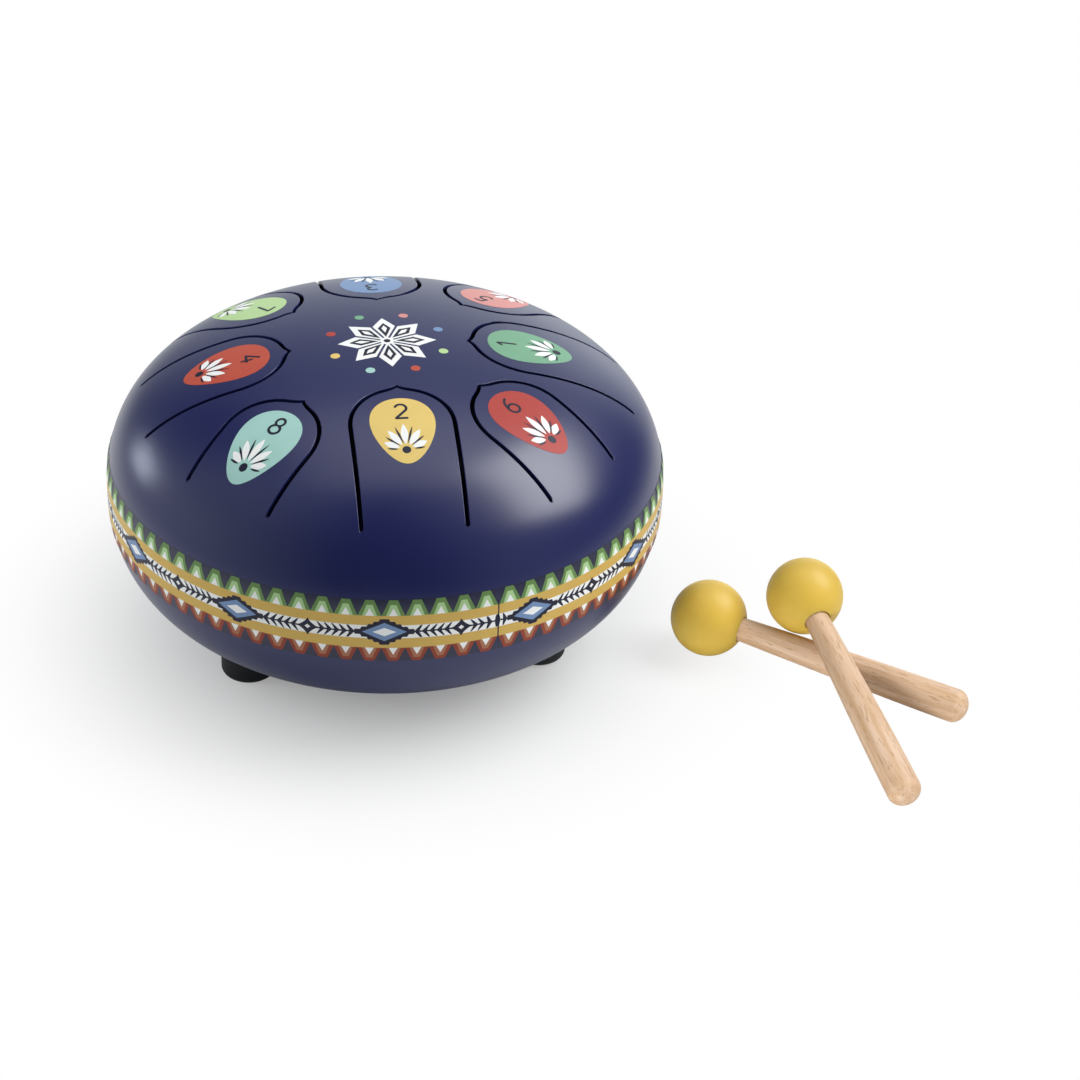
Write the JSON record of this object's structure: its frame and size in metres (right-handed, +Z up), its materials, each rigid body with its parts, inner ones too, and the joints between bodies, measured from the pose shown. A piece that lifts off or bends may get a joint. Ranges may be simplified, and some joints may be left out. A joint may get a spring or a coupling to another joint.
{
  "type": "steel tongue drum",
  "caption": "Round steel tongue drum with arched tongues cut in its painted dome, a printed rim band and rubber feet, with a pair of ball-headed beech mallets to strike it.",
  "frame": {"origin": "under the middle of the whole set, drum and mallets, on the surface that it stands on", "axes": "+Z up along the drum's axis, +X from the drum towards the mallets, -Y towards the player"},
  "size_m": [0.3006, 0.2402, 0.1168],
  "materials": {
    "navy_paint": "satin navy powder coat on steel",
    "printed_film": "satin printed film",
    "sealant": "matt sealant",
    "foot_rubber": "matt moulded rubber",
    "zinc_steel": "bright zinc plate",
    "ball_rubber": "satin moulded rubber",
    "beech": "sanded, lightly oiled beech"
  },
  "bodies": {
    "drum": {"upper_shell": "navy_paint", "lower_shell": "navy_paint", "rim_seal": "sealant", "printed_band": "printed_film", "foot_1": "foot_rubber", "foot_2": "foot_rubber", "foot_3": "foot_rubber", "foot_cup_washer_1": "zinc_steel", "foot_cup_washer_2": "zinc_steel", "foot_cup_washer_3": "zinc_steel", "foot_screw_1": "zinc_steel", "foot_screw_2": "zinc_steel", "foot_screw_3": "zinc_steel", "inner_washer_1": "zinc_steel", "inner_washer_2": "zinc_steel", "inner_washer_3": "zinc_steel", "foot_nut_1": "zinc_steel", "foot_nut_2": "zinc_steel", "foot_nut_3": "zinc_steel"},
    "tongue_1": {"tongue_1": "navy_paint"},
    "tongue_2": {"tongue_2": "navy_paint"},
    "tongue_3": {"tongue_3": "navy_paint"},
    "tongue_4": {"tongue_4": "navy_paint"},
    "tongue_5": {"tongue_5": "navy_paint"},
    "tongue_6": {"tongue_6": "navy_paint"},
    "tongue_7": {"tongue_7": "navy_paint"},
    "tongue_8": {"tongue_8": "navy_paint"},
    "mallet_a": {"mallet_a_head": "ball_rubber", "mallet_a_handle": "beech"},
    "mallet_b": {"mallet_b_head": "ball_rubber", "mallet_b_handle": "beech"}
  },
  "joints": [
    {"name": "tongue_1_bend", "type": "hinge", "parent": "drum", "child": "tongue_1", "pos_m": [0.03591, 0.01967, 0.0941], "axis": [0, -1, 0], "range_deg": [-0.8, 0.8], "stiffness_Nm_per_rad": 3},
    {"name": "tongue_2_bend", "type": "hinge", "parent": "drum", "child": "tongue_2", "pos_m": [-0.04994, -0.06618, 0.0941], "axis": [-1, 0, 0], "range_deg": [-0.8, 0.8], "stiffness_Nm_per_rad": 3},
    {"name": "tongue_3_bend", "type": "hinge", "parent": "drum", "child": "tongue_3", "pos_m": [-0.04994, 0.10552, 0.0941], "axis": [1, 0, 0], "range_deg": [-0.8, 0.8], "stiffness_Nm_per_rad": 3},
    {"name": "tongue_4_bend", "type": "hinge", "parent": "drum", "child": "tongue_4", "pos_m": [-0.13579, 0.01967, 0.0941], "axis": [0, 1, 0], "range_deg": [-0.8, 0.8], "stiffness_Nm_per_rad": 3},
    {"name": "tongue_5_bend", "type": "hinge", "parent": "drum", "child": "tongue_5", "pos_m": [0.01076, 0.08038, 0.0941], "axis": [0.7071, -0.7071, 0], "range_deg": [-0.8, 0.8], "stiffness_Nm_per_rad": 3},
    {"name": "tongue_6_bend", "type": "hinge", "parent": "drum", "child": "tongue_6", "pos_m": [0.01076, -0.04104, 0.0941], "axis": [-0.7071, -0.7071, 0], "range_deg": [-0.8, 0.8], "stiffness_Nm_per_rad": 3},
    {"name": "tongue_7_bend", "type": "hinge", "parent": "drum", "child": "tongue_7", "pos_m": [-0.11065, 0.08038, 0.0941], "axis": [0.7071, 0.7071, 0], "range_deg": [-0.8, 0.8], "stiffness_Nm_per_rad": 3},
    {"name": "tongue_8_bend", "type": "hinge", "parent": "drum", "child": "tongue_8", "pos_m": [-0.11065, -0.04104, 0.0941], "axis": [-0.7071, 0.7071, 0], "range_deg": [-0.8, 0.8], "stiffness_Nm_per_rad": 3},
    {"name": "mallet_a_lift", "type": "slide", "parent": "drum", "child": "mallet_a", "axis": [0, 0, 1], "range_m": [0, 0.13]},
    {"name": "mallet_b_lift", "type": "slide", "parent": "mallet_a", "child": "mallet_b", "axis": [0, 0, 1], "range_m": [0, 0.13]}
  ]
}
